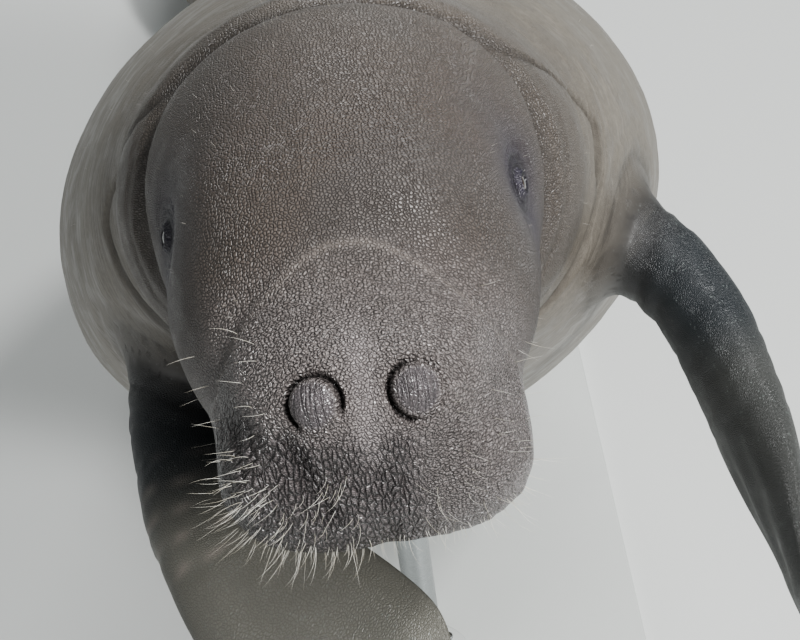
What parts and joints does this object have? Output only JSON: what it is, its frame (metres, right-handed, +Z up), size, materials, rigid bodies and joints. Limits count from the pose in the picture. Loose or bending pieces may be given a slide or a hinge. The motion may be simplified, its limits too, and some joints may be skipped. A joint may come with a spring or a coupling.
{
  "type": "manatee on a display stand",
  "caption": "Life-size still model of a manatee hanging at the surface, head raised and flippers lowered, held over a flat base by two short rods for display.",
  "frame": {"origin": "middle of the underside of the stand's base, on the floor", "axes": "+Z up, the animal faces -Y with its tail towards +Y, +X is its left side"},
  "size_m": [0.7553, 2.5713, 1.5769],
  "materials": {
    "hide": "damp, finely pebbled thick hide, grey-brown with warm mottling and fine wrinkles",
    "snout_hide": "wet, coarsely pebbled darker grey hide with lengthwise wrinkles and pale bristles",
    "flipper_hide": "smooth dark slate hide with fine cross wrinkles",
    "nail": "pale brown horn, satin",
    "eye": "dark brown, wet and glossy",
    "stand_paint": "pale grey powder coat, satin",
    "rod_steel": "brushed along the rod"
  },
  "bodies": {
    "root": {"neck": "hide", "head": "hide", "chest": "hide", "belly": "hide", "loin": "hide", "tail_stock": "hide", "tail_paddle": "hide", "muzzle": "snout_hide", "lower_jaw": "snout_hide", "flipper_left": "flipper_hide", "flipper_right": "flipper_hide", "nail_left_1": "nail", "nail_left_2": "nail", "nail_left_3": "nail", "nail_left_4": "nail", "nail_right_1": "nail", "nail_right_2": "nail", "nail_right_3": "nail", "nail_right_4": "nail", "eye_left": "eye", "eye_right": "eye", "stand_base": "stand_paint", "stand_flange_front": "stand_paint", "stand_flange_rear": "stand_paint", "stand_cup_front": "stand_paint", "stand_cup_rear": "stand_paint", "stand_rod_front": "rod_steel", "stand_rod_rear": "rod_steel"}
  },
  "joints": []
}
